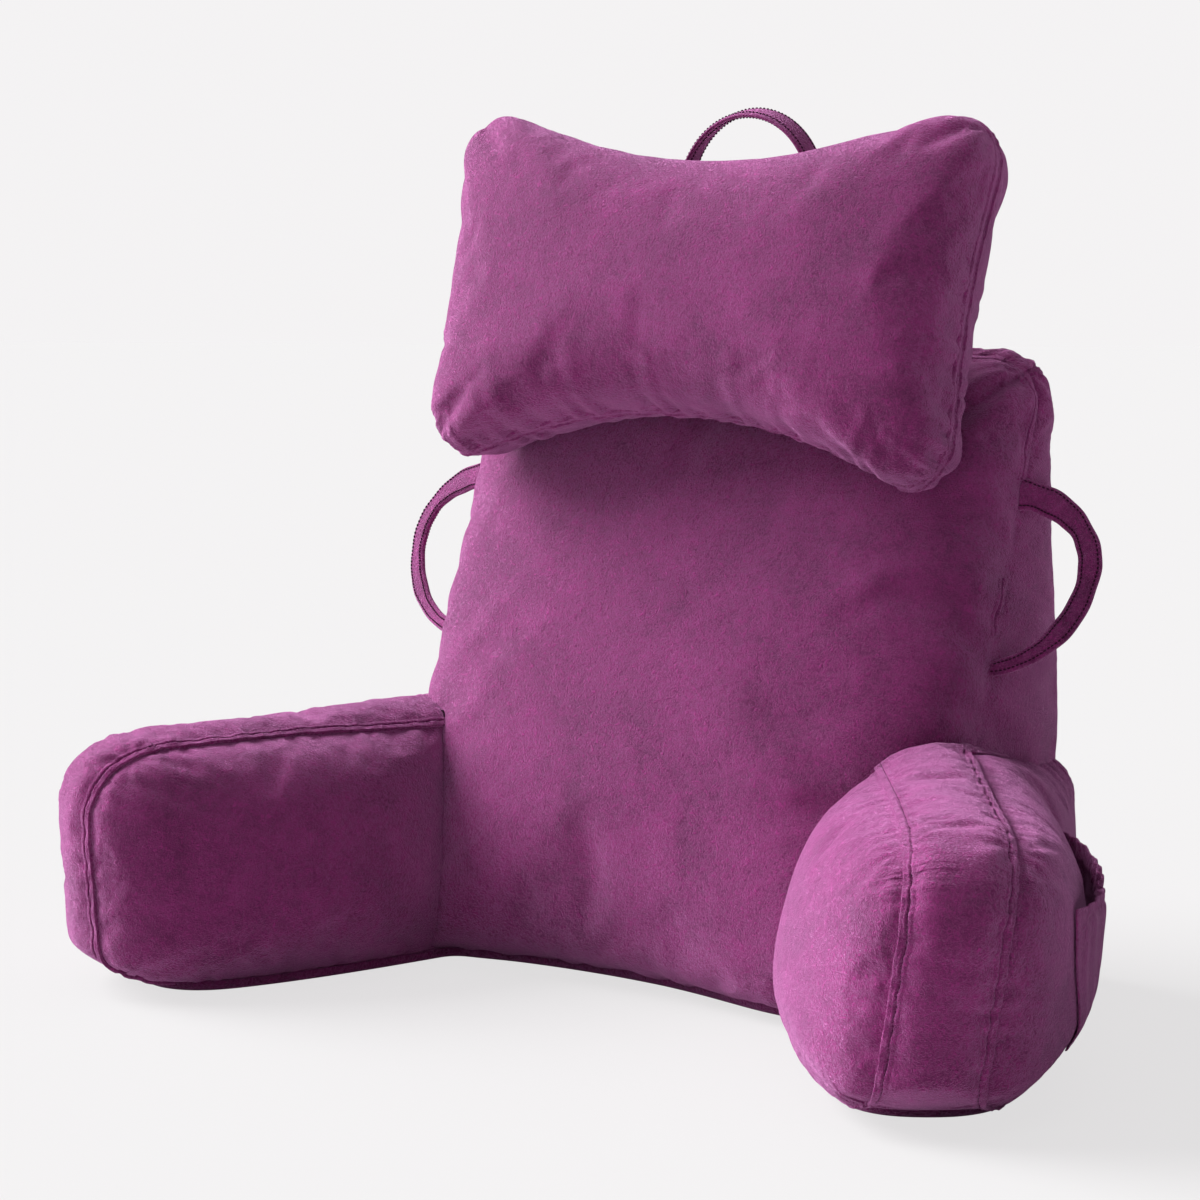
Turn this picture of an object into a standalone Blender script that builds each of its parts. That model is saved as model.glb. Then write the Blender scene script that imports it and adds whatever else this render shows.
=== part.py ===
"""Reading pillow with arms: a wedge-shaped back cushion, two splayed arm bolsters, a bow-tie headrest,
a top handle, two side loops and a gathered pocket, all standing on one U-shaped base panel.

Metres, +Z up. The front faces -Y. The origin lies on the floor under the middle of the back cushion.
"""
import math

import bmesh
import bpy
from mathutils import Matrix, Vector

# ---------------------------------------------------------------- driving dimensions
GAP = 0.0003                  # between pieces that touch
SEAM_CROWDING = 1.35          # draws the rows of faces towards the seams, where the curve is tightest

BACK_HALF_WIDTH = 0.256       # middle to side seam
BACK_TOP = 0.505              # height of the top seam
BACK_FOOT_Y = -0.100          # front seam at the floor
BACK_HEAD_Y = 0.106           # front seam at the top
BACK_REAR_Y = 0.124           # rear seam, all the way up
BACK_CORNER = 0.050           # radius of the two top corners
BACK_FRONT_CROWN = 0.080
BACK_REAR_CROWN = 0.012
GUSSET_CROWN = 0.009          # how far the side strip swells

ARM_ROOT = Vector((0.181, -0.100))   # where the inner seam meets the back, on the floor
ARM_SPLAY = math.radians(30.4)       # outward from straight ahead
ARM_LENGTH = 0.306            # root to the front strip
ARM_TOP_BACK = 0.200          # height of the arm's seams at the back
ARM_TOP_FRONT = 0.190         # and at the front
ARM_LEAN = 0.133              # outward lean of the seams for each metre of height
ARM_RAKE = 0.023              # forward lean of the front for each metre of height
ARM_STRIP = 0.072             # width of the strip between the two seams
ARM_FOOT_IN = 0.020           # how far the foot of the inner panel spreads inward
ARM_FOOT_OUT = 0.030          # and that of the outer panel outward
ARM_TOP_RADIUS = 0.061        # front corner, top
ARM_LOW_RADIUS = 0.062        # front corner, bottom
ARM_INNER_CROWN = 0.062
ARM_OUTER_CROWN = 0.072
ARM_STRIP_CROWN = 0.018
ARM_STRIP_CROWN_BACK = 0.008
ARM_BEND_LENGTH = 0.230       # inside the back cushion the arm bends until it points straight back
ARM_REAR_SPREAD = 0.056       # how much wider the arm grows towards the rear
ARM_REAR_DROP = 0.012         # and how much lower

HEAD_CENTRE = Vector((-0.001, 0.004, 0.558))
HEAD_RECLINE = math.radians(16.0)
HEAD_ROLL = math.radians(2.4)        # clockwise, seen from the front
HEAD_HALF_WIDTH = 0.250
HEAD_HALF_HEIGHT = 0.152      # at the ends
HEAD_WAIST = 0.014            # how far the ends draw in at mid-height
HEAD_TOP_HOLLOW = 0.043       # how far the top edge dips in the middle
HEAD_LOW_HOLLOW = 0.052       # how far the bottom edge rises there
HEAD_CORNER = 0.052
HEAD_CROWN = 0.066            # each side of the seam
HEAD_EDGE = 0.006             # thickness at the seam

HANDLE_CENTRE = Vector((0.010, 0.062, 0.638))
HANDLE_HALF_SPAN = 0.063
HANDLE_RISE = 0.071
HANDLE_WIDTH = 0.026
HANDLE_THICKNESS = 0.003

LOOP_HEIGHT = 0.340           # middle of each side loop, along the side seam
LOOP_REACH = {"left": 0.078, "right": 0.064}   # centre line, out from the seam
LOOP_SPAN_ABOVE = 0.069       # centre line, along the seam, above the middle
LOOP_SPAN_BELOW = 0.080       # and below it
LOOP_ROOT = 0.012             # how deep the ends go into the seam
LOOP_SWING = math.radians(18.0)      # backward from straight out
LOOP_WIDTH_TOP = 0.030
LOOP_WIDTH_MIDDLE = 0.019
LOOP_WIDTH_FOOT = 0.012
LOOP_THICKNESS = 0.005

POCKET_REAR = 0.0             # where its four edges lie on the arm's outer panel,
POCKET_FRONT = 0.82           # which runs from -1 to 1 both ways
POCKET_LOW = -5.0 / 6.0
POCKET_MOUTH = 0.5
POCKET_GAPE = 0.018           # how far the mouth stands open
POCKET_THICKNESS = 0.002
POCKET_LIFT = 0.0008          # clearance over the arm along the sewn edges

BASE_THICKNESS = 0.002
BASE_SEAM = 0.0115            # height of its rim, where the cushions are sewn on
BASE_TURN = 0.008             # width of the steep part of the rim
BASE_EASE = 0.012             # and of the gentle part inside it
BASE_TIP = 0.050              # length of the rounded tip under each arm
BASE_TIP_FROM = 0.220         # where the tip begins, along the arm
BASE_CORNER = 0.032           # rear corners
BASE_NOOK = 0.015             # corners between back and arms
PLATE_SIZE = 1.4              # of the plate that trims the cushions underneath
PLATE_DEPTH = 0.05

VELVET = (0.262, 0.045, 0.205)


# ---------------------------------------------------------------- helpers
def clear_scene():
    for old in list(bpy.data.objects):
        bpy.data.objects.remove(old, do_unlink=True)


def new_collection(name):
    collection = bpy.data.collections.new(name)
    bpy.context.scene.collection.children.link(collection)
    return collection


def velvet(name, tint):
    material = bpy.data.materials.new(name + "_velvet")
    material.use_nodes = True
    shader = material.node_tree.nodes["Principled BSDF"]
    shader.inputs["Base Color"].default_value = (*(channel * tint for channel in VELVET), 1.0)
    shader.inputs["Roughness"].default_value = 0.9
    shader.inputs["Metallic"].default_value = 0.0
    return material


def lerp(low, high, part):
    return low + (high - low) * part


def dome(position, flatness=2.6, fullness=0.55):
    """1 in the middle and 0 at the seams, for a position from -1 to 1."""
    return max(0.0, 1.0 - abs(position) ** flatness) ** fullness


def round_off(point, centre, radius):
    """Moves a point of a square corner onto the arc around centre."""
    return centre + (point - centre).normalized() * radius


def on_outline(u, v, outline, crowding=1.0):
    """Concentric squares of the unit square become concentric copies of the outline."""
    middle = outline(0.0, 0.0)
    ring = max(abs(u), abs(v))
    if ring < 1e-6:
        return middle
    return middle + (outline(u / ring, v / ring) - middle) * (1.0 - (1.0 - ring) ** crowding)


def finish(bm, name, collection, tint=1.0):
    bm.normal_update()
    bmesh.ops.recalc_face_normals(bm, faces=bm.faces)
    bmesh.ops.triangulate(bm, faces=bm.faces)
    mesh = bpy.data.meshes.new(name)
    bm.to_mesh(mesh)
    bm.free()
    mesh.shade_smooth()
    mesh.materials.append(velvet(name, tint))
    piece = bpy.data.objects.new(name, mesh)
    collection.objects.link(piece)
    return piece


def shaped_block(name, cells, place, collection, tint=1.0):
    """A cube cut into cells, each corner moved by place(u, v, w), whose arguments run from -1 to 1."""
    bm = bmesh.new()
    bmesh.ops.create_cube(bm, size=2.0)
    for axis, count in enumerate(cells):
        along = [edge for edge in bm.edges if abs(edge.verts[0].co[axis] - edge.verts[1].co[axis]) > 1.0]
        if count > 1:
            bmesh.ops.subdivide_edges(bm, edges=along, cuts=count - 1, use_grid_fill=True)
    for vertex in bm.verts:
        vertex.co = place(*vertex.co)
    return finish(bm, name, collection, tint)


def as_cutter(piece):
    piece.hide_render = True
    piece.display_type = "WIRE"
    return piece


def cut(piece, cutter):
    difference = piece.modifiers.new("cut", "BOOLEAN")
    difference.operation = "DIFFERENCE"
    difference.solver = "EXACT"
    difference.object = cutter


def seat(piece, support, collection):
    """Cuts a piece back to the gap from the piece that it is pressed or sewn onto."""
    swollen = as_cutter(bpy.data.objects.new(f"{piece.name}_on_{support.name}", support.data.copy()))
    collection.objects.link(swollen)
    swell = swollen.modifiers.new("swell", "DISPLACE")
    swell.strength = GAP
    swell.mid_level = 0.0
    cut(piece, swollen)


# ---------------------------------------------------------------- back cushion
def back_outline(a, b):
    """Side and top seams as (x, z), for the edge of the unit square."""
    point = Vector((BACK_HALF_WIDTH * a, lerp(0.0, BACK_TOP, (b + 1.0) / 2.0)))
    for side in (-1.0, 1.0):
        centre = Vector((side * (BACK_HALF_WIDTH - BACK_CORNER), BACK_TOP - BACK_CORNER))
        if (point.x - centre.x) * side > 0.0 and point.y > centre.y:
            point = round_off(point, centre, BACK_CORNER)
    return point


def back_seam_y(z):
    return lerp(BACK_FOOT_Y, BACK_HEAD_Y, z / BACK_TOP)


def back_point(u, v, w):
    x, z = on_outline(u, v, back_outline, SEAM_CROWDING)
    swell = dome(u) * dome(v)
    front = back_seam_y(z) - (BACK_FRONT_CROWN * swell if w < -0.999 else 0.0)
    rear = BACK_REAR_Y + (BACK_REAR_CROWN * swell if w > 0.999 else 0.0)
    bulge = GUSSET_CROWN * (1.0 - w * w)
    if abs(u) > 0.999:
        x += math.copysign(bulge, u)
    if v > 0.999:
        z += bulge
    return Vector((x, lerp(front, rear, (w + 1.0) / 2.0), z))


# ---------------------------------------------------------------- arms
def arm_path(s):
    """Plan point and outward direction at the distance s from the root; behind the root the path bends."""
    radius = ARM_BEND_LENGTH / ARM_SPLAY
    heading = ARM_SPLAY + min(s, 0.0) / radius
    out = Vector((math.cos(heading), math.sin(heading)))
    if s >= 0.0:
        forward = Vector((math.sin(ARM_SPLAY), -math.cos(ARM_SPLAY)))
        return ARM_ROOT + forward * s, out
    inward = math.cos(heading) - math.cos(ARM_SPLAY)
    backward = math.sin(ARM_SPLAY) - math.sin(heading)
    return ARM_ROOT + Vector((-inward, backward)) * radius, out


def arm_outline(a, b):
    """The arm's side as (s, z) for the edge of the unit square, its two front corners rounded."""
    s = lerp(-ARM_BEND_LENGTH, ARM_LENGTH, (a + 1.0) / 2.0)
    rear = max(0.0, -s) / ARM_BEND_LENGTH
    top = lerp(ARM_TOP_BACK, ARM_TOP_FRONT, max(0.0, s) / ARM_LENGTH) - ARM_REAR_DROP * rear ** 1.5
    point = Vector((s, lerp(0.0, top, (b + 1.0) / 2.0)))
    high = Vector((ARM_LENGTH - ARM_TOP_RADIUS, ARM_TOP_FRONT - ARM_TOP_RADIUS))
    low = Vector((ARM_LENGTH - ARM_LOW_RADIUS, ARM_LOW_RADIUS))
    if point.x > high.x and point.y > high.y:
        point = round_off(point, high, ARM_TOP_RADIUS)
    if point.x > low.x and point.y < low.y:
        point = round_off(point, low, ARM_LOW_RADIUS)
    return point


def arm_sides(s, z):
    """Distances of the arm's two panels from its path, along their seams."""
    ahead = max(0.0, s) / ARM_LENGTH
    behind = max(0.0, -s) / ARM_BEND_LENGTH
    foot = max(0.0, 1.0 - z / ARM_TOP_FRONT) ** 2
    inner = ARM_LEAN * z - ARM_FOOT_IN * foot * 2.6 * ahead * (1.0 - ahead ** 2)
    outer = ARM_LEAN * z + ARM_STRIP + ARM_REAR_SPREAD * behind ** 0.6
    outer += ARM_FOOT_OUT * foot * (1.0 - ahead ** 2) * (1.0 + 2.0 * ahead)
    return inner, outer


def arm_swell(v):
    """The panels are blunt below the top seam and fall away gently towards the base."""
    return dome(v, 3.0, 0.45) if v > 0.0 else dome(v, 2.0, 0.8)


def arm_point(u, v, w):
    s, z = on_outline(u, v, arm_outline)
    inner, outer = arm_sides(s, z)
    ahead = max(0.0, s) / ARM_LENGTH
    if w < -0.999:
        inner -= ARM_INNER_CROWN * dome(min(1.0, 2.0 * ahead) - 1.0) * dome(max(u, 0.0)) * arm_swell(v)
    if w > 0.999:
        outer += ARM_OUTER_CROWN * dome(u) * arm_swell(v)
    bulge = lerp(ARM_STRIP_CROWN_BACK, ARM_STRIP_CROWN, min(1.0, 3.0 * ahead)) * (1.0 - w * w)
    if u > 0.999 and v > 0.999:
        bulge *= 0.6
    if u > 0.999:
        s += bulge
    if v > 0.999:
        z += bulge
    place, out = arm_path(s + ARM_RAKE * z * ahead)
    spot = place + out * lerp(inner, outer, (w + 1.0) / 2.0)
    return Vector((spot.x, spot.y, z))


# ---------------------------------------------------------------- headrest and its handle
def head_outline(a, b):
    """The bow-tie seam as (x, height) in the headrest's own plane."""
    point = Vector((a, b))
    for side in (-1.0, 1.0):
        for end in (-1.0, 1.0):
            radius = HEAD_CORNER / HEAD_HALF_HEIGHT
            centre = Vector((side * (1.0 - radius * HEAD_HALF_HEIGHT / HEAD_HALF_WIDTH), end * (1.0 - radius)))
            beyond = Vector(((a - centre.x) * HEAD_HALF_WIDTH, (b - centre.y) * HEAD_HALF_HEIGHT))
            if beyond.x * side > 0.0 and beyond.y * end > 0.0:
                arc = beyond.normalized() * HEAD_CORNER
                point = centre + Vector((arc.x / HEAD_HALF_WIDTH, arc.y / HEAD_HALF_HEIGHT))
    hollow = HEAD_TOP_HOLLOW if point.y > 0.0 else HEAD_LOW_HOLLOW
    height = HEAD_HALF_HEIGHT - hollow * max(0.0, 1.0 - (point.x / 0.86) ** 2)
    width = HEAD_HALF_WIDTH - HEAD_WAIST * (1.0 - point.y ** 2)
    return Vector((point.x * width, point.y * height))


def head_frame():
    return Matrix.Translation(HEAD_CENTRE) @ Matrix.Rotation(-HEAD_RECLINE, 4, "X") @ Matrix.Rotation(HEAD_ROLL, 4, "Y")


def head_point(u, v, w):
    x, z = on_outline(u, v, head_outline, SEAM_CROWDING)
    thickness = HEAD_EDGE / 2.0 + HEAD_CROWN * dome(u, 4.0, 0.4) * dome(v, 2.2, 0.6)
    return head_frame() @ Vector((x, w * thickness, z))


def handle_point(u, v, w):
    """An arch over the headrest's top edge, its width running front to back."""
    turn = u * math.radians(100.0)
    rise = HANDLE_RISE + w * HANDLE_THICKNESS / 2.0
    span = HANDLE_HALF_SPAN + w * HANDLE_THICKNESS / 2.0
    return HANDLE_CENTRE + Vector((span * math.sin(turn), v * HANDLE_WIDTH / 2.0, rise * math.cos(turn)))


# ---------------------------------------------------------------- side loops
def loop_shape(reach):
    """A flat strap bent edgewise, both ends let into the side seam; its lower end is folded narrow."""
    slope = math.atan2(BACK_HEAD_Y - BACK_FOOT_Y, BACK_TOP)
    along = Vector((0.0, math.sin(slope), math.cos(slope)))
    out = Vector((math.cos(LOOP_SWING), math.sin(LOOP_SWING), 0.0))
    face = out.cross(along).normalized()
    middle = Vector((BACK_HALF_WIDTH, back_seam_y(LOOP_HEIGHT), LOOP_HEIGHT)) - out * LOOP_ROOT

    def loop_point(u, v, w):
        turn = u * math.pi / 2.0
        above = u > 0.0
        side = v * lerp(LOOP_WIDTH_MIDDLE, LOOP_WIDTH_TOP if above else LOOP_WIDTH_FOOT, u * u) / 2.0
        far = (LOOP_ROOT + reach + side) * math.cos(turn)
        up = ((LOOP_SPAN_ABOVE if above else LOOP_SPAN_BELOW) + side) * math.sin(turn)
        return middle + out * far + along * up + face * w * LOOP_THICKNESS / 2.0

    return loop_point


# ---------------------------------------------------------------- pocket
def pocket_point(u, v, w):
    """A patch sewn down along three edges of the arm's outer panel, its mouth standing open."""
    along = lerp(POCKET_REAR, POCKET_FRONT, (u + 1.0) / 2.0)
    up = lerp(POCKET_LOW, POCKET_MOUTH, (v + 1.0) / 2.0)
    spot = arm_point(along, up, 1.0)
    out = arm_path(on_outline(along, up, arm_outline).x)[1]
    stand = POCKET_GAPE * dome(u, 3.0, 0.7) * ((v + 1.0) / 2.0) ** 1.5
    return spot + out.to_3d() * (POCKET_LIFT + stand + (POCKET_THICKNESS if w > 0.0 else 0.0))


# ---------------------------------------------------------------- base panel
def foot_spot(s, part):
    """A point of the arm's footprint: part runs from 0 at the inner seam to 1 at the outer."""
    place, out = arm_path(s)
    inner, outer = arm_sides(s, 0.0)
    return place + out * lerp(inner, outer, part)


def base_half_outline():
    """The right half of the base seam in plan, from the front round to the rear; the corners are still sharp."""
    inner_side = [foot_spot(BASE_TIP_FROM * step / 6.0, 0.0) for step in range(6)]
    tip = []
    for step in range(13):
        turn = math.pi * (step / 12.0 - 0.5)
        tip.append(foot_spot(BASE_TIP_FROM + BASE_TIP * math.cos(turn), 0.5 + 0.5 * math.sin(turn)))
    outer_side = [foot_spot(lerp(BASE_TIP_FROM, -ARM_BEND_LENGTH, step / 10.0), 1.0) for step in range(1, 10)]
    rear = Vector((foot_spot(-ARM_BEND_LENGTH, 1.0).x, BACK_REAR_Y))
    return inner_side + tip + outer_side + [rear]


def base_sheet():
    """The base seam's outline as one face at z = 0, with its four corners rounded."""
    half = base_half_outline()
    bm = bmesh.new()
    corners = [bm.verts.new((spot.x, spot.y, 0.0)) for spot in half]
    corners += [bm.verts.new((-spot.x, spot.y, 0.0)) for spot in reversed(half)]
    bm.faces.new(corners)
    nooks = [corners[0], corners[-1]]
    rears = [corners[len(half) - 1], corners[len(half)]]
    for rounded, radius in ((nooks, BASE_NOOK), (rears, BASE_CORNER)):
        bmesh.ops.bevel(bm, geom=rounded, offset=radius, segments=5, profile=0.5, affect="VERTICES")
    bm.normal_update()
    if bm.faces[:][0].normal.z < 0.0:
        bmesh.ops.reverse_faces(bm, faces=bm.faces)
    return bm


def base_tray():
    """The base sheet with its rim at the height of the base seam and its floor sunk between the cushions."""
    bm = base_sheet()
    face = bm.faces[:][0]
    depth = BASE_SEAM - BASE_THICKNESS
    for width, share in ((BASE_TURN, 0.75), (BASE_EASE, 0.25)):
        bmesh.ops.inset_region(bm, faces=[face], thickness=width, depth=-depth * share, use_boundary=True)
    bmesh.ops.translate(bm, verts=bm.verts, vec=(0.0, 0.0, BASE_SEAM))
    return bm


def base_panel(collection):
    panel = finish(base_tray(), "base_panel", collection, 0.8)
    cloth = panel.modifiers.new("cloth", "SOLIDIFY")
    cloth.thickness = BASE_THICKNESS
    cloth.offset = 1.0
    cloth.use_even_offset = True
    return panel


def floor_cutter(collection):
    """A plate as high as the base seam, with a hollow in it that keeps the gap over the base panel."""
    bm = base_tray()
    rim = [edge for edge in bm.edges if edge.is_boundary]
    wall = bmesh.ops.extrude_edge_only(bm, edges=rim)["geom"]
    raised = [item for item in wall if isinstance(item, bmesh.types.BMVert)]
    bmesh.ops.translate(bm, verts=raised, vec=(0.0, 0.0, PLATE_DEPTH))
    bmesh.ops.contextual_create(bm, geom=[edge for edge in bm.edges if edge.is_boundary])
    bmesh.ops.translate(bm, verts=bm.verts, vec=(0.0, 0.0, GAP))
    hollow = as_cutter(finish(bm, "floor_hollow", collection))
    bm = bmesh.new()
    bmesh.ops.create_cube(bm, size=1.0)
    bmesh.ops.scale(bm, verts=bm.verts, vec=(PLATE_SIZE, PLATE_SIZE, PLATE_DEPTH))
    bmesh.ops.translate(bm, verts=bm.verts, vec=(0.0, 0.0, BASE_SEAM + 2.0 * GAP - PLATE_DEPTH / 2.0))
    plate = as_cutter(finish(bm, "floor_plate", collection))
    cut(plate, hollow)
    return plate


def mirrored(place):
    def flipped(u, v, w):
        spot = place(u, v, w)
        return Vector((-spot.x, spot.y, spot.z))
    return flipped


# ---------------------------------------------------------------- assembly
clear_scene()
parts = new_collection("reading_pillow")
cutters = new_collection("cutters")
floor = floor_cutter(cutters)

back = shaped_block("back_cushion", (18, 16, 4), back_point, parts)
head = shaped_block("headrest", (20, 12, 1), head_point, parts, 1.1)
seat(head, back, cutters)

for side, flip in (("right", lambda place: place), ("left", mirrored)):
    arm = shaped_block(f"arm_{side}", (20, 12, 4), flip(arm_point), parts, 1.05)
    seat(arm, back, cutters)
    cut(arm, floor)
    loop = shaped_block(f"side_loop_{side}", (24, 2, 1), flip(loop_shape(LOOP_REACH[side])), parts, 0.9)
    seat(loop, back, cutters)
cut(back, floor)

pocket = shaped_block("arm_pocket", (14, 8, 1), pocket_point, parts, 0.95)
seat(pocket, parts.objects["arm_right"], cutters)

handle = shaped_block("top_handle", (24, 2, 1), handle_point, parts, 0.9)
seat(handle, head, cutters)

base_panel(parts)
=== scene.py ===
"""Reading pillow with arms: the soft velvet pieces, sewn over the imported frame, on a pale floor.

Metres, +Z up. The pillow faces -Y, and the arm with the pocket is at +X.
Every cushion is a cut-up box whose corners a function moves into place. A cloth simulation under pressure
then gathers the panels at their seams, and the sewn seams are laid on the result.
"""

import math

import bmesh
import bpy
import numpy as np
from mathutils import Matrix, Vector
from mathutils.bvhtree import BVHTree
from mathutils.kdtree import KDTree


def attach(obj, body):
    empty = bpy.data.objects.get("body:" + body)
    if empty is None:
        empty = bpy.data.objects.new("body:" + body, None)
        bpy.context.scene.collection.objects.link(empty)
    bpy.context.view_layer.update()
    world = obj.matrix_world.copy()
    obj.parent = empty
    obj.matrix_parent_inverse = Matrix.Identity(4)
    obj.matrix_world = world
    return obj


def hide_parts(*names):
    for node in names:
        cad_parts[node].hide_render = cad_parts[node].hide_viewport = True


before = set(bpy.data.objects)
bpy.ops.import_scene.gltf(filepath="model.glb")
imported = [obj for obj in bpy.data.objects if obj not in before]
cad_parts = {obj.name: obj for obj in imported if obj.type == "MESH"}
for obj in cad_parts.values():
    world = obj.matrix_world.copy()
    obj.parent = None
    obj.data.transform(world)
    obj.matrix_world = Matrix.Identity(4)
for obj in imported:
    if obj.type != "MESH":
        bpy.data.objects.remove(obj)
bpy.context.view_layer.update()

# ---------------------------------------------------------------- dimensions, most of them as in the CAD model
GAP = 0.0003
SEAM_CROWDING = 1.35
BACK_HALF_WIDTH = 0.256
BACK_TOP = 0.505
BACK_FOOT_Y = -0.100
BACK_HEAD_Y = 0.106
BACK_REAR_Y = 0.124
BACK_CORNER = 0.043
BACK_FRONT_CROWN = 0.080
BACK_REAR_CROWN = 0.012
GUSSET_CROWN = 0.009

ARM_ROOT = (0.181, -0.100)
ARM_SPLAY = math.radians(30.4)
ARM_LENGTH = 0.306
ARM_TOP_BACK = 0.200
ARM_TOP_FRONT = 0.190
ARM_LEAN = 0.133
ARM_RAKE = 0.023
ARM_STRIP = 0.072
ARM_FOOT_IN = 0.020
ARM_FOOT_OUT = 0.030
ARM_TOP_RADIUS = 0.061
ARM_LOW_RADIUS = 0.037
ARM_INNER_CROWN = 0.062
ARM_OUTER_CROWN = 0.074
ARM_STRIP_CROWN = 0.012
ARM_STRIP_CROWN_BACK = 0.014
ARM_SOLE_HEIGHT = 0.030
ARM_TILT = 0.0065
ARM_TILT_LENGTH = 0.16
ARM_CORNER_CROWN = 0.004
ARM_CREASE = 0.865
ARM_SHOULDER_DROP = 0.024
ARM_SHOULDER_SLACK = 0.35
ARM_BEND_LENGTH = 0.230
ARM_REAR_SPREAD = 0.056
ARM_REAR_DROP = 0.012

HEAD_CENTRE = Vector((-0.001, 0.004, 0.558))
HEAD_RECLINE = math.radians(16.0)
HEAD_ROLL = math.radians(2.4)
HEAD_HALF_WIDTH = 0.250
HEAD_HALF_HEIGHT = 0.152
HEAD_WAIST = 0.014
HEAD_TOP_HOLLOW = 0.043
HEAD_LOW_HOLLOW = 0.052
HEAD_CORNER = 0.052
HEAD_CROWN = 0.066
HEAD_EDGE = 0.006
HEAD_LEFT_LEAN = 0.011

HANDLE_CENTRE = np.array((0.010, 0.062, 0.638))
HANDLE_HALF_SPAN = 0.063
HANDLE_RISE = 0.071
HANDLE_WIDTH = 0.027
HANDLE_THICKNESS = 0.0045
HANDLE_STITCH_INSET = 0.0045
HANDLE_TILT = math.radians(14.0)

LOOP_HEIGHT = 0.340
LOOP_REACH = {"left": 0.081, "right": 0.064}
LOOP_SPAN_ABOVE = 0.065
LOOP_SPAN_BELOW = 0.082
LOOP_ROOT = 0.012
LOOP_SWING = math.radians(18.0)
LOOP_WIDTH_TOP = 0.031
LOOP_WIDTH_FOOT = 0.010
LOOP_WIDTH_MIDDLE = 0.0185
LOOP_THICKNESS = 0.006
LOOP_STITCH_INSET = 0.0035

POCKET_REAR = 0.0
POCKET_FRONT = 0.82
POCKET_TAPER = 0.10
POCKET_LOW = -0.74
POCKET_MOUTH = 0.5
POCKET_GAPE = 0.013
POCKET_SNUG = 0.45
POCKET_THICKNESS = 0.0018
POCKET_LIFT = 0.0012

BASE_SEAM = 0.0100
BASE_TIP = 0.065
BASE_TIP_FROM = 0.196
BASE_TIP_FULLNESS = 0.72
SOLE_ROUNDING = 0.060
BASE_THICKNESS = 0.0015
# the rim's rounded section: outward from the base seam, and height
BASE_RIM = ((-0.0070, BASE_SEAM - 0.0003), (0.0008, BASE_SEAM - 0.0002), (0.0017, 0.0095), (0.0018, 0.0070),
            (0.0012, 0.0040), (-0.0008, 0.0018), (-0.0050, 0.0006), (-0.0110, 0.0))

# ---------------------------------------------------------------- sewing
SEAM_STEP = 0.0011
STITCH_SPACING = 0.0033
# a seam turned to one side and stitched down: distance from its fold, and height above the cloth
FELL_OFFSETS = np.array((-0.0004, 0.0000, 0.0005, 0.0013, 0.0026, 0.0040, 0.0050, 0.0056, 0.0061, 0.0066,
                         0.0074, 0.0090, 0.0125))
FELL_HEIGHTS = np.array((-0.0014, 0.0012, 0.0025, 0.0027, 0.0021, 0.0020, 0.0018, 0.0009, -0.0004, 0.0007,
                         0.0010, 0.0006, -0.0008))
STITCH_ROW = 8
# one lip of a plain seam, in the same way
LIP_OFFSETS = np.array((0.0002, 0.0008, 0.0016, 0.0026, 0.0038, 0.0052))
LIP_HEIGHTS = np.array((0.0002, 0.0012, 0.0016, 0.0013, 0.0006, -0.0006))

# cloth cut too long by this share, and how far its gathers may move it
BACK_GATHERS = {"excess": 0.013, "cap": 0.0045}
ARM_GATHERS = {"excess": 0.014, "cap": 0.0040}
HEAD_GATHERS = {"excess": 0.010, "cap": 0.0026}
# pleats beside the seams: spacing, height and reach
BACK_PLEATS = (0.034, 0.0014, 0.026)
ARM_PLEATS = (0.021, 0.0013, 0.024)
HEAD_PLEATS = (0.025, 0.0030, 0.027)
# folds that spread from the corners: count, height and reach
BACK_FANS = (9, 0.0020, 0.036)
ARM_FANS = (9, 0.0011, 0.036, 0.6)
HEAD_FANS = (8, 0.0011, 0.030)

# ---------------------------------------------------------------- colours, light and camera
PILE_DARK = (0.098, 0.0090, 0.060)
PILE_LIGHT = (0.310, 0.034, 0.190)
PILE_BLOOM = (1.0, 0.44, 0.88, 1.0)
THREAD_DARK = (0.020, 0.002, 0.013)
THREAD_LIGHT = (0.050, 0.006, 0.033)
PALE = (1.0, 0.985, 0.992, 1.0)
FLOOR_GLOW = 0.716
FLOOR_GREY = 0.100
FLOOR_BOUNCE = (0.56, 0.55, 0.555, 1.0)
BACKDROP = 0.905
AMBIENT = 0.06
# name, direction from the pillow, strength, and width in degrees
SUNS = (("key", (-0.80, -0.15, 0.60), 6.5, 40.0), ("side", (-0.95, 0.00, 0.30), 3.4, 40.0),
        ("top", (0.00, 0.20, 1.00), 0.7, 60.0), ("fill", (0.10, -0.90, 0.50), 0.40, 60.0))
CAMERA_AZIMUTH = math.radians(31.95)
CAMERA_HEIGHT_ANGLE = math.radians(6.071)
CAMERA_PLACE = Vector((1.061, -1.8606, 0.5334))
CAMERA_LENS = 77.64


# ---------------------------------------------------------------- shapes
def lerp(low, high, part):
    return low + (high - low) * part


def smooth_step(part):
    part = np.clip(part, 0.0, 1.0)
    return part * part * (3.0 - 2.0 * part)


def dome(position, flatness=2.6, fullness=0.55):
    """1 in the middle and 0 at the seams, for positions from -1 to 1."""
    return np.maximum(0.0, 1.0 - np.abs(position) ** flatness) ** fullness


def unit(rows):
    return rows / np.linalg.norm(rows, axis=1, keepdims=True)


def run_along(line):
    """How far along a line of points each of them lies."""
    return np.concatenate([[0.0], np.cumsum(np.linalg.norm(np.diff(line, axis=0), axis=1))])


def respaced(keep, run, line):
    """The points of a line at other distances along it."""
    return np.stack([np.interp(keep, run, column) for column in line.T], axis=1)


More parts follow.
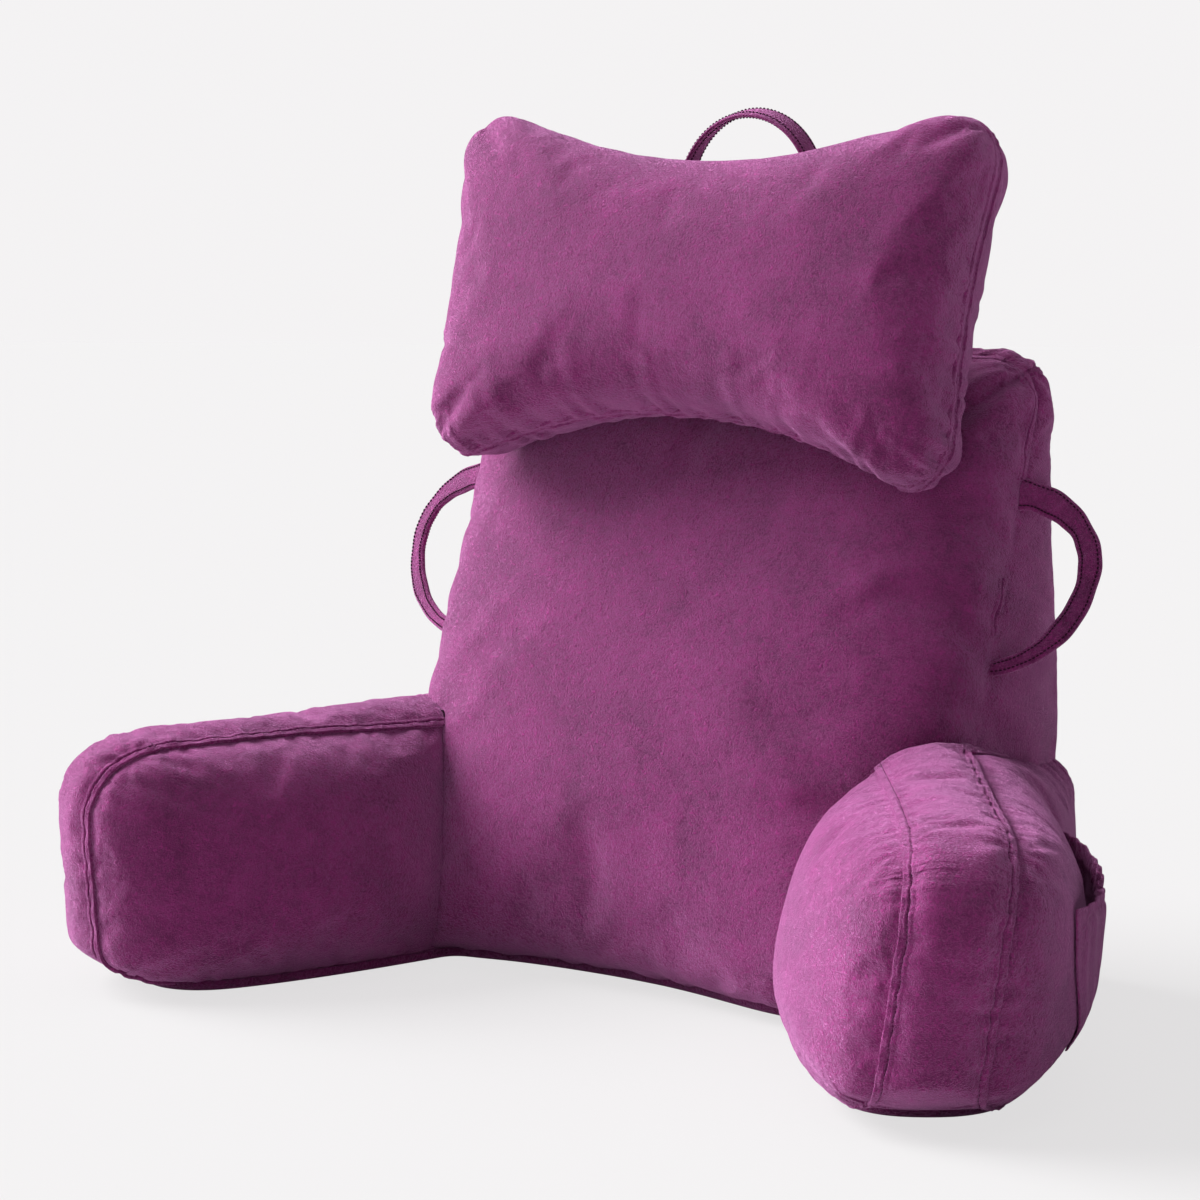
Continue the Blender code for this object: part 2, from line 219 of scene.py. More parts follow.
def plan_normals(outline):
    """Outward directions of a closed outline in plan."""
    ahead = np.roll(outline, -1, axis=0) - np.roll(outline, 1, axis=0)
    return unit(np.stack([ahead[:, 1], -ahead[:, 0]], axis=1))


def smooth_curve(places, values, steps=400, reach=0.06):
    """A function through the given values with its corners rounded off."""
    fine = np.linspace(places[0] - reach, places[-1] + reach, steps)
    rough = np.interp(fine, places, values)
    count = max(3, int(steps * reach / (fine[-1] - fine[0])))
    window = np.hanning(count + 2)
    padded = np.pad(rough, (count + 2) // 2, mode="edge")
    soft = np.convolve(padded, window / window.sum(), mode="same")[(count + 2) // 2:][:steps]
    return lambda place: np.interp(place, fine, soft)


def round_corner(points, centre, radius, toward):
    """Moves the points of one square corner onto the arc around centre; toward is the corner's direction."""
    offset = points - np.asarray(centre)
    beyond = (offset * np.asarray(toward) > 0.0).all(axis=1)
    arc = offset[beyond]
    moved = points.copy()
    moved[beyond] = centre + radius * arc / np.linalg.norm(arc, axis=1, keepdims=True)
    return moved


def on_outline(u, v, outline, crowding=1.0):
    """Concentric squares of the unit square become concentric copies of the outline."""
    ring = np.maximum(np.abs(u), np.abs(v))
    safe = np.maximum(ring, 1e-6)
    middle = outline(np.zeros(1), np.zeros(1))
    edge = outline(u / safe, v / safe)
    return middle + (edge - middle) * (1.0 - (1.0 - ring) ** crowding)[:, None]


def outline_normals(u, v, outline, step=0.01):
    """Outward directions of the outline, at the rays that u and v lie on."""
    ring = np.maximum(np.maximum(np.abs(u), np.abs(v)), 1e-6)
    a, b = u / ring, v / ring
    upright = np.abs(a) >= np.abs(b)
    shift_a, shift_b = np.where(upright, 0.0, step), np.where(upright, step, 0.0)
    after = outline(np.clip(a + shift_a, -1.0, 1.0), np.clip(b + shift_b, -1.0, 1.0))
    before = outline(np.clip(a - shift_a, -1.0, 1.0), np.clip(b - shift_b, -1.0, 1.0))
    tangent = after - before
    normal = np.stack([tangent[:, 1], -tangent[:, 0]], axis=1)
    normal /= np.maximum(np.linalg.norm(normal, axis=1, keepdims=True), 1e-9)
    away = outline(a, b) - outline(np.zeros(1), np.zeros(1))
    return normal * np.sign((normal * away).sum(axis=1))[:, None]


def pillow(u, v, across=2.6, blunt=0.5, high=0.5, low=0.8):
    """1 in the middle and 0 at the seams, blending smoothly at the ends; low is the slope at the foot."""
    rise = dome(v, 2.6, np.where(v > 0.0, high, low))
    run = dome(u, across, blunt)
    both = 1.0 / np.maximum(run, 0.02) ** 3 + 1.0 / np.maximum(rise, 0.02) ** 3 - 1.0
    shape = both ** (-1.0 / 3.0)
    return np.where(np.minimum(run, rise) < 0.02, 0.0, shape)


def raised(z, top):
    """Heights moved up so that the foot stands at the base seam and the top stays where it is."""
    return BASE_SEAM + z * (1.0 - BASE_SEAM / top)


def back_outline(a, b):
    points = np.stack([BACK_HALF_WIDTH * a, lerp(0.0, BACK_TOP, (b + 1.0) / 2.0)], axis=1)
    for side in (-1.0, 1.0):
        centre = (side * (BACK_HALF_WIDTH - BACK_CORNER), BACK_TOP - BACK_CORNER)
        points = round_corner(points, centre, BACK_CORNER, (side, 1.0))
    return points


def back_seam_y(z):
    return lerp(BACK_FOOT_Y, BACK_HEAD_Y, z / BACK_TOP)


# how much wider than its front seams the back is at its rear seams, by height
back_flare = smooth_curve((0.0, 0.10, 0.20, 0.26, 0.33, 0.42, 0.505),
                          (0.006, 0.007, 0.011, 0.009, 0.004, -0.002, -0.002))
# how far the foot seam runs behind the straight line between the arms, from left to right
foot_shift = smooth_curve((-0.26, -0.18, -0.13, -0.08, -0.03, 0.02, 0.06, 0.127, 0.16, 0.26),
                          (0.0, -0.003, 0.007, 0.010, 0.009, 0.004, -0.005, -0.025, -0.029, -0.029))
FOOT_SHIFT_HEIGHT = 0.18


def back_point(u, v, w):
    x, z = on_outline(u, v, back_outline, SEAM_CROWDING).T
    out = outline_normals(u, v, back_outline)
    swell = pillow(u, v, 2.6, 0.55, 0.55, 0.60)
    front = back_seam_y(z) - np.where(w < -0.999, BACK_FRONT_CROWN * swell, 0.0)
    front += foot_shift(x) * np.maximum(0.0, 1.0 - z / FOOT_SHIFT_HEIGHT) ** 2
    rear = BACK_REAR_Y + np.where(w > 0.999, BACK_REAR_CROWN * swell, 0.0)
    rim = (np.maximum(np.abs(u), v) > 0.999) & (np.abs(w) < 0.999)
    bulge = np.where(rim, GUSSET_CROWN * (1.0 - w * w), 0.0)
    x = x * (1.0 + back_flare(z) / BACK_HALF_WIDTH * (w + 1.0) / 2.0) + out[:, 0] * bulge
    z = z + out[:, 1] * bulge
    return np.stack([x, lerp(front, rear, (w + 1.0) / 2.0), raised(z, BACK_TOP)], axis=1)


def arm_path(s):
    """Plan point and outward direction at the distance s from the root."""
    radius = ARM_BEND_LENGTH / ARM_SPLAY
    heading = ARM_SPLAY + np.minimum(s, 0.0) / radius
    ahead = np.maximum(s, 0.0)
    x = ARM_ROOT[0] + math.sin(ARM_SPLAY) * ahead - radius * (np.cos(heading) - math.cos(ARM_SPLAY))
    y = ARM_ROOT[1] - math.cos(ARM_SPLAY) * ahead + radius * (math.sin(ARM_SPLAY) - np.sin(heading))
    return np.stack([x, y], axis=1), np.stack([np.cos(heading), np.sin(heading)], axis=1)


def arm_outline(a, b):
    s = lerp(-ARM_BEND_LENGTH, ARM_LENGTH, (a + 1.0) / 2.0)
    rear = np.maximum(0.0, -s) / ARM_BEND_LENGTH
    top = lerp(ARM_TOP_BACK, ARM_TOP_FRONT, np.maximum(0.0, s) / ARM_LENGTH) - ARM_REAR_DROP * rear ** 1.5
    points = np.stack([s, lerp(0.0, top, (b + 1.0) / 2.0)], axis=1)
    high = (ARM_LENGTH - ARM_TOP_RADIUS, ARM_TOP_FRONT - ARM_TOP_RADIUS)
    low = (ARM_LENGTH - ARM_LOW_RADIUS, ARM_LOW_RADIUS)
    points = round_corner(points, high, ARM_TOP_RADIUS, (1.0, 1.0))
    return round_corner(points, low, ARM_LOW_RADIUS, (1.0, -1.0))


def arm_sides(s, z):
    """Distances of the arm's two panels from its path, along their seams."""
    ahead = np.maximum(0.0, s) / ARM_LENGTH
    behind = np.maximum(0.0, -s) / ARM_BEND_LENGTH
    foot = np.maximum(0.0, 1.0 - z / ARM_TOP_FRONT) ** 2
    inner = ARM_LEAN * z - ARM_FOOT_IN * foot * 2.6 * ahead * (1.0 - ahead ** 2)
    outer = ARM_LEAN * z + ARM_STRIP + ARM_REAR_SPREAD * behind ** 0.6
    outer += ARM_FOOT_OUT * foot * (1.0 - ahead ** 2) * (1.0 + 2.0 * ahead)
    return inner, outer


def arm_point(u, v, w):
    s, z = on_outline(u, v, arm_outline).T
    out = outline_normals(u, v, arm_outline)
    inner, outer = arm_sides(s, z)
    ahead = np.maximum(0.0, s) / ARM_LENGTH
    behind = np.maximum(0.0, -s) / ARM_BEND_LENGTH
    swell = pillow(u, v, 2.6, 0.50, 0.50 + 0.5 * behind, 1.05) * (1.0 - ARM_SHOULDER_SLACK * behind)
    fade = dome(np.minimum(1.0, 2.0 * ahead) - 1.0)
    lean = pillow(u, v, 2.6, 0.50, 0.50, 0.85)
    inner = inner - np.where(w < -0.999, ARM_INNER_CROWN * fade * lean, 0.0)
    outer = outer + np.where(w > 0.999, ARM_OUTER_CROWN * swell, 0.0)
    rim = (np.maximum(u, np.abs(v)) > 0.999) & (np.abs(w) < 0.999)
    crown = lerp(ARM_STRIP_CROWN_BACK, ARM_STRIP_CROWN, np.minimum(1.0, 3.0 * ahead))
    crown = crown + ARM_CORNER_CROWN * 4.0 * (out[:, 0] * np.maximum(out[:, 1], 0.0)) ** 2
    bulge = np.where(rim, crown * (1.0 - w ** 4) * np.clip(z / ARM_SOLE_HEIGHT, 0.0, 1.0), 0.0)
    s = s + out[:, 0] * bulge
    z = z + out[:, 1] * bulge
    tilt = ARM_TILT * w * (1.0 - smooth_step(s / ARM_TILT_LENGTH))
    tilt = tilt - ARM_SHOULDER_DROP * (w + 1.0) / 2.0 * behind ** 0.8
    z = z + tilt * np.clip(z / ARM_TOP_BACK, 0.0, 1.0) ** 2
    place, across = arm_path(s + ARM_RAKE * z * ahead)
    spot = place + across * lerp(inner, outer, (w + 1.0) / 2.0)[:, None]
    return np.column_stack([spot, np.maximum(raised(z, ARM_TOP_BACK), BASE_SEAM)])


def head_outline(a, b):
    points = np.stack([a * HEAD_HALF_WIDTH, b * HEAD_HALF_HEIGHT], axis=1)
    for side in (-1.0, 1.0):
        for end in (-1.0, 1.0):
            centre = (side * (HEAD_HALF_WIDTH - HEAD_CORNER), end * (HEAD_HALF_HEIGHT - HEAD_CORNER))
            points = round_corner(points, centre, HEAD_CORNER, (side, end))
    across, up = (points / (HEAD_HALF_WIDTH, HEAD_HALF_HEIGHT)).T
    hollow = np.where(up > 0.0, HEAD_TOP_HOLLOW, HEAD_LOW_HOLLOW)
    height = HEAD_HALF_HEIGHT - hollow * np.maximum(0.0, 1.0 - (across / 0.86) ** 2)
    width = HEAD_HALF_WIDTH - HEAD_WAIST * (1.0 - up ** 2)
    width = width + HEAD_LEFT_LEAN * up * np.minimum(across, 0.0) ** 2
    return np.stack([across * width, up * height], axis=1)


def head_frame():
    turn = Matrix.Rotation(-HEAD_RECLINE, 4, "X") @ Matrix.Rotation(HEAD_ROLL, 4, "Y")
    return Matrix.Translation(HEAD_CENTRE) @ turn


def head_point(u, v, w):
    x, z = on_outline(u, v, head_outline, SEAM_CROWDING).T
    swell = pillow(u, v, 3.4, 0.45, 0.50, 0.50)
    thickness = HEAD_EDGE / 2.0 + HEAD_CROWN * swell
    local = np.stack([x, w * thickness, z], axis=1)
    turned = np.array(head_frame())
    return local @ turned[:3, :3].T + turned[:3, 3]


def mirrored(place):
    return lambda u, v, w: place(u, v, w) * (-1.0, 1.0, 1.0)


def spot_on(place, u, v, w):
    return place(*np.array([[u], [v], [w]]))[0]


# ---------------------------------------------------------------- meshes
def warp(t, ease=0.85):
    """Rows of faces crowd towards the seams, where the cloth turns fastest."""
    return lerp(t, np.sin(t * math.pi / 2.0), ease)


def box_grid(cells):
    """The surface of a cube cut into cells: corners from -1 to 1, and four-sided faces."""
    index = {}
    faces = []
    for axis in range(3):
        first, second = (axis + 1) % 3, (axis + 2) % 3
        for end in (0, cells[axis]):
            for i in range(cells[first]):
                for j in range(cells[second]):
                    face = []
                    for di, dj in ((0, 0), (1, 0), (1, 1), (0, 1)):
                        corner = [0, 0, 0]
                        corner[axis], corner[first], corner[second] = end, i + di, j + dj
                        face.append(index.setdefault(tuple(corner), len(index)))
                    faces.append(face if end else face[::-1])
    corners = np.array(list(index), dtype=float) / np.array(cells) * 2.0 - 1.0
    return corners, np.array(faces)


def mesh_object(name, points, faces):
    mesh = bpy.data.meshes.new(name)
    mesh.from_pydata(np.asarray(points).tolist(), [], [list(map(int, face)) for face in faces])
    mesh.update()
    mesh.shade_smooth()
    piece = bpy.data.objects.new(name, mesh)
    bpy.context.scene.collection.objects.link(piece)
    return piece


def points_of(piece):
    points = np.empty(len(piece.data.vertices) * 3)
    piece.data.vertices.foreach_get("co", points)
    return points.reshape(-1, 3)


def set_points(piece, points):
    piece.data.vertices.foreach_set("co", np.asarray(points).ravel())
    piece.data.update()


def turn_outward(piece):
    bm = bmesh.new()
    bm.from_mesh(piece.data)
    bmesh.ops.recalc_face_normals(bm, faces=bm.faces)
    bm.to_mesh(piece.data)
    bm.free()


def cushion(name, cells, place):
    """A closed cushion, and where each of its corners lies on the box it was cut from."""
    corners, faces = box_grid(cells)
    u, v, w = warp(corners[:, 0]), warp(corners[:, 1]), corners[:, 2]
    piece = mesh_object(name, place(u, v, w), faces)
    turn_outward(piece)
    return piece, (u, v, w)


def smoothed(field, piece, rounds):
    """The field averaged over neighbouring corners again and again."""
    edges = np.empty(len(piece.data.edges) * 2, dtype=int)
    piece.data.edges.foreach_get("vertices", edges)
    near, far = edges.reshape(-1, 2).T
    ends, others = np.concatenate([near, far]), np.concatenate([far, near])
    count = np.bincount(ends, minlength=len(field))[:, None]
    for _ in range(rounds):
        total = np.stack([np.bincount(ends, field[others, axis], len(field)) for axis in range(3)], axis=1)
        field = 0.5 * field + 0.5 * total / count
    return field


def relax(piece, held, rounds):
    """Evens out a panel between its seams."""
    points = points_of(piece)
    free = (1.0 - held)[:, None]
    for _ in range(rounds):
        points += free * (smoothed(points, piece, 1) - points)
    set_points(piece, points)


def simulate(piece, held, pressure, excess, bending=0.4, frames=22):
    """Where the corners go when the piece is blown up, its held corners fixed and its cloth cut too long."""
    pins = piece.vertex_groups.new(name="held")
    for weight in np.unique(held):
        pins.add(np.flatnonzero(held == weight).tolist(), float(weight), "REPLACE")
    cloth = piece.modifiers.new("cloth", "CLOTH")
    cloth.settings.quality = 6
    cloth.settings.mass = 0.3
    cloth.settings.tension_stiffness = 20.0
    cloth.settings.compression_stiffness = 20.0
    cloth.settings.shear_stiffness = 8.0
    cloth.settings.bending_stiffness = bending
    cloth.settings.vertex_group_mass = "held"
    cloth.settings.use_pressure = True
    cloth.settings.uniform_pressure_force = pressure
    cloth.settings.shrink_min = -excess
    cloth.settings.effector_weights.gravity = 0.0
    cloth.collision_settings.use_collision = False
    cloth.collision_settings.use_self_collision = False
    cloth.point_cache.frame_start = 1
    cloth.point_cache.frame_end = frames
    for step in range(1, frames + 1):
        bpy.context.scene.frame_set(step)
    evaluated = piece.evaluated_get(bpy.context.evaluated_depsgraph_get())
    moved = np.empty(len(evaluated.data.vertices) * 3)
    evaluated.data.vertices.foreach_get("co", moved)
    bpy.context.scene.frame_set(1)
    piece.modifiers.remove(cloth)
    piece.vertex_groups.remove(pins)
    return moved.reshape(-1, 3)


def puff(piece, held, excess, cap, pressure=4.0, swell=0.05, rounds=60):
    """Gathers the cloth at the seams: the simulated wrinkles in full, and little of the simulated swelling."""
    rest = points_of(piece)
    moved = simulate(piece, held, pressure, excess) - rest
    slow = smoothed(moved, piece, rounds)
    shift = (moved - slow) + swell * slow
    shift *= (1.0 - held)[:, None]
    length = np.maximum(np.linalg.norm(shift, axis=1, keepdims=True), 1e-9)
    set_points(piece, rest + shift * np.minimum(1.0, cap / length))


def apply_modifiers(piece):
    graph = bpy.context.evaluated_depsgraph_get()
    mesh = bpy.data.meshes.new_from_object(piece.evaluated_get(graph))
    piece.modifiers.clear()
    old, piece.data = piece.data, mesh
    bpy.data.meshes.remove(old)
    piece.data.shade_smooth()


def refine(piece, levels=1):
    subdivision = piece.modifiers.new("subdivision", "SUBSURF")
    subdivision.levels = levels
    subdivision.render_levels = levels
    apply_modifiers(piece)


def seat(piece, support, gap=GAP):
    """Cuts a piece back to the gap from the piece that it is pressed or sewn onto."""
    swollen = bpy.data.objects.new(support.name + "_swollen", support.data.copy())
    bpy.context.scene.collection.objects.link(swollen)
    swell = swollen.modifiers.new("swell", "DISPLACE")
    swell.strength = gap
    swell.mid_level = 0.0
    apply_modifiers(swollen)
    difference = piece.modifiers.new("seat", "BOOLEAN")
    difference.operation = "DIFFERENCE"
    difference.solver = "MANIFOLD"
    difference.object = swollen
    apply_modifiers(piece)
    crease(piece)
    bpy.data.objects.remove(swollen, do_unlink=True)


def crease(piece, angle=math.radians(50.0)):
    """Sharp shading along the edges where a piece was cut back to its neighbour."""
    bm = bmesh.new()
    bm.from_mesh(piece.data)
    for edge in bm.edges:
        edge.smooth = not (len(edge.link_faces) == 2 and edge.calc_face_angle() > angle)
    bm.to_mesh(piece.data)
    bm.free()


def seam_places(points, lines):
    """How far each point is from the nearest seam, and where along that seam."""
    spots = np.concatenate(lines)
    runs = []
    start = 0.0
    for line in lines:
        run = run_along(line)
        runs.append(start + run)
        start += run[-1] + 1.0
    runs = np.concatenate(runs)
    finder = KDTree(len(spots))
    for index, spot in enumerate(spots):
        finder.insert(Vector(spot), index)
    finder.balance()
    distance = np.empty(len(points))
    along = np.empty(len(points))
    for index, point in enumerate(points):
        _, nearest, distance[index] = finder.find(Vector(point))
        along[index] = runs[nearest]
    return distance, along


def mark_seams(piece, lines):
    """Notes the seam places on the mesh, for the fine puckers of the cloth's material."""
    for name, values in zip(("seam_gap", "seam_run"), seam_places(points_of(piece), lines)):
        attribute = piece.data.attributes.new(name, "FLOAT", "POINT")
        attribute.data.foreach_set("value", values)


def normals_of(piece):
    normals = np.empty(len(piece.data.vertices) * 3)
    piece.data.vertex_normals.foreach_get("vector", normals)
    return normals.reshape(-1, 3)


def pleat(piece, lines, spacing, height, reach, only=None):
    """Short pleats square to the seams; only(points) limits them to some of the seams."""
    points = points_of(piece)
    gap, run = seam_places(points, lines)
    count = run / spacing
    phase = 2.0 * math.pi * (count + 0.28 * np.sin(count * 1.7) + 0.2 * np.sin(count * 0.61 + 2.0))
    length = reach * (0.75 + 0.45 * np.sin(count * 2.3 + 1.0))
    shift = height * np.sin(phase) * np.exp(-gap / length) * smooth_step(gap / 0.006)
    if only is not None:
        shift = shift * only(points)
    set_points(piece, points + normals_of(piece) * shift[:, None])


def fan(piece, spot, count, height, reach, phase=0.0):
    """Folds that spread out from a point and fade with the distance."""
    points, normals = points_of(piece), normals_of(piece)
    offset = points - np.asarray(spot)
    distance = np.linalg.norm(offset, axis=1)
    near = distance < reach
    facing = normals[near].mean(axis=0)
    facing /= np.linalg.norm(facing)
    side = np.cross(facing, (0.0, 0.0, 1.0))
    side /= np.linalg.norm(side)
    turn = np.arctan2(offset @ np.cross(facing, side), offset @ side)
    shift = height * np.cos(count * turn + phase) * np.exp(-distance / reach) * smooth_step(distance / 0.018)
    set_points(piece, points + normals * shift[:, None])


def tree_of(piece):
    bm = bmesh.new()
    bm.from_mesh(piece.data)
    tree = BVHTree.FromBMesh(bm)
    bm.free()
    return tree


def inside(tree, point):
    found, normal, _, _ = tree.find_nearest(Vector(point))
    return (Vector(point) - found).dot(normal) < 0.0


# ---------------------------------------------------------------- seams
def rows_across(place, edge, inward, reach, offsets, steps=26):
    """Points beside a seam: edge holds the box corners along it, inward gives those at a depth from them."""
    u, v, w = edge
    depths = reach * (np.arange(steps) / (steps - 1.0)) ** 1.6
    layers = np.stack([place(*inward(u, v, w, depth)) for depth in depths], axis=1)
    gaps = np.linalg.norm(np.diff(layers, axis=1), axis=2)
    run = np.concatenate([np.zeros((len(u), 1)), np.cumsum(gaps, axis=1)], axis=1)
    rows = np.empty((len(u), len(offsets), 3))
    for index in range(len(u)):
        for axis in range(3):
            rows[index, :, axis] = np.interp(offsets, run[index], layers[index, :, axis])
    return rows


def along_edge(place, corners, step):
    """The box corners of a seam, respaced to equal steps along the sewn line."""
    u, v, w = (np.concatenate([np.linspace(a, b, 600, endpoint=False) for a, b in zip(c, c[1:])] + [[c[-1]]])
               for c in corners)
    run = run_along(place(u, v, w))
    keep = np.arange(0.0, run[-1], step)
    return tuple(np.interp(keep, run, c) for c in (u, v, w))


def ribbon(name, rows, heights, tree, hidden_by, ragged, seed):
    """A strip of cloth laid along rows of points, each row raised above the surface under it by heights."""
    count, width = rows.shape[:2]
    laid = np.empty_like(rows)
    normals = np.empty_like(rows)
    shown = np.ones(count, dtype=bool)
    for i in range(count):
        for j in range(width):
            found, normal, _, _ = tree.find_nearest(Vector(rows[i, j]))
            laid[i, j] = found
            normals[i, j] = normal
        shown[i] = not any(inside(other, laid[i, width // 2]) for other in hidden_by)
    steady = normals.mean(axis=1)
    kernel = np.ones(9) / 9.0
    padded = np.pad(steady, ((4, 4), (0, 0)), mode="edge")
    steady = np.stack([np.convolve(padded[:, a], kernel, mode="valid") for a in range(3)], axis=1)
    steady = unit(steady)
    rng = np.random.default_rng(seed)
    wander = np.convolve(rng.standard_normal(count + 12), np.hanning(15)[1:-1] / 7.0, mode="same")
    wander = wander[6:6 + count]
    scale = 1.0 + ragged * wander[:, None]
    points = laid + steady[:, None, :] * (np.asarray(heights)[None, :] * scale)[:, :, None]
    faces = []
    for i in range(count - 1):
        if shown[i] and shown[i + 1]:
            for j in range(width - 1):
                a = i * width + j
                faces.append((a, a + 1, a + width + 1, a + width))
    piece = mesh_object(name, points.reshape(-1, 3), faces)
    bm = bmesh.new()
    bm.from_mesh(piece.data)
    bmesh.ops.delete(bm, geom=[vertex for vertex in bm.verts if not vertex.link_faces], context="VERTS")
    bm.normal_update()
    middle = bm.faces[:][0]
    if middle.normal.dot(Vector(steady[np.flatnonzero(shown)[0]])) < 0.0:
        bmesh.ops.reverse_faces(bm, faces=bm.faces)
    bm.to_mesh(piece.data)
    bm.free()
    return piece, points, steady, shown


def stitches(name, line, up, shown, step, length=0.0027, radius=0.00065):
    """Thread between one needle hole and the next, all along a line of points that are step apart."""
    sides, rings = 6, 5
    every = max(1, round(STITCH_SPACING / step))
    points = []
    faces = []
    for index in range(every, len(line) - every, every):
        if not (shown[index - 1] and shown[index] and shown[index + 1]):
            continue
        along = line[index + 1] - line[index - 1]
        along = along / np.linalg.norm(along)
        across = np.cross(up[index], along)
        across = across / np.linalg.norm(across)
        rise = np.cross(along, across)
        start = len(points)
        for ring in range(rings):
            part = ring / (rings - 1.0) * 2.0 - 1.0
            size = radius * math.sqrt(max(0.06, 1.0 - part ** 4))
            centre = line[index] + along * part * length / 2.0 + rise * (0.0002 - 0.0006 * part * part)
            for side in range(sides):
                turn = side * 2.0 * math.pi / sides
                points.append(centre + size * (math.cos(turn) * across + math.sin(turn) * rise))
        for ring in range(rings - 1):
            for side in range(sides):
                a = start + ring * sides + side
                b = start + ring * sides + (side + 1) % sides
                faces.append((a, b, b + sides, a + sides))
        faces.append(tuple(start + side for side in reversed(range(sides))))
        faces.append(tuple(start + (rings - 1) * sides + side for side in range(sides)))
    return mesh_object(name, points, faces)


def felled_seam(name, place, corners, inward, reach, tree, hidden_by, seed, cloths, node):
    """A seam turned to one side and stitched down 6 mm from its fold."""
    edge = along_edge(place, corners, SEAM_STEP)
    rows = rows_across(place, edge, inward, reach, FELL_OFFSETS)
    fold, points, up, shown = ribbon(name, rows, FELL_HEIGHTS, tree, hidden_by, 0.25, seed)
    line = points.reshape(rows.shape)[:, STITCH_ROW]
    thread = stitches(name + "_thread", line, up, shown, SEAM_STEP)
    for piece, cloth in zip((fold, thread), cloths):
        dress(piece, cloth, node, False)


def lipped_seam(name, place, corners, tree, hidden_by, seed):
    """A plain seam on a knife edge: two rolled lips with a fine groove between them."""
    edge = along_edge(place, corners, SEAM_STEP)
    front, rear = (
        rows_across(place, edge, lambda u, v, w, depth, face=face: (u * (1.0 - depth), v * (1.0 - depth),
                                                                    np.full(len(u), face)), 0.10, LIP_OFFSETS)
        for face in (-1.0, 1.0))
    rows = np.concatenate([front[:, ::-1], rear], axis=1)
    heights = np.concatenate([LIP_HEIGHTS[::-1], LIP_HEIGHTS])
    return ribbon(name, rows, heights, tree, hidden_by, 0.3, seed)[0]


# ---------------------------------------------------------------- materials
def new_node(tree, kind, **values):
    node = tree.nodes.new(kind)
    for name, value in values.items():
        node.inputs[name].default_value = value
    return node


def noise(tree, coordinates, scale, detail, roughness, distortion):
    node = new_node(tree, "ShaderNodeTexNoise", Scale=scale, Detail=detail, Roughness=roughness,
                    Distortion=distortion)
    tree.links.new(coordinates, node.inputs["Vector"])
    return node.outputs["Fac"]


def math_node(tree, operation, first, second):
    node = tree.nodes.new("ShaderNodeMath")
    node.operation = operation
    for socket, value in zip(node.inputs, (first, second)):
        if isinstance(value, (int, float)):
            socket.default_value = value
        else:
            tree.links.new(value, socket)
    return node.outputs[0]


def bump(tree, height, strength, distance, below=None):
    node = new_node(tree, "ShaderNodeBump", Strength=strength, Distance=distance)
    tree.links.new(height, node.inputs["Height"])
    if below is not None:
        tree.links.new(below, node.inputs["Normal"])
    return node.outputs["Normal"]


def attribute(tree, name):
    node = tree.nodes.new("ShaderNodeAttribute")
    node.attribute_name = name
    return node.outputs["Fac"]


def puckers(tree):
    """Fine gathers square to the seams, which fade out a few centimetres from them."""
    gap, run = attribute(tree, "seam_gap"), attribute(tree, "seam_run")
    vector = tree.nodes.new("ShaderNodeCombineXYZ")
    tree.links.new(math_node(tree, "MULTIPLY", run, 90.0), vector.inputs["X"])
    tree.links.new(math_node(tree, "MULTIPLY", gap, 14.0), vector.inputs["Y"])
    gathers = noise(tree, vector.outputs[0], 1.0, 1.5, 0.5, 0.3)
    slow = tree.nodes.new("ShaderNodeCombineXYZ")
    tree.links.new(math_node(tree, "MULTIPLY", run, 16.0), slow.inputs["X"])
    where = noise(tree, slow.outputs[0], 1.0, 1.0, 0.5, 0.0)
    reach = math_node(tree, "MULTIPLY", math_node(tree, "POWER", where, 2.0), 0.085)
    depth = math_node(tree, "MULTIPLY", math_node(tree, "DIVIDE", gap, reach), -1.0)
    near = math_node(tree, "POWER", 2.718, depth)
    return math_node(tree, "MULTIPLY", math_node(tree, "SUBTRACT", gathers, 0.5), near)


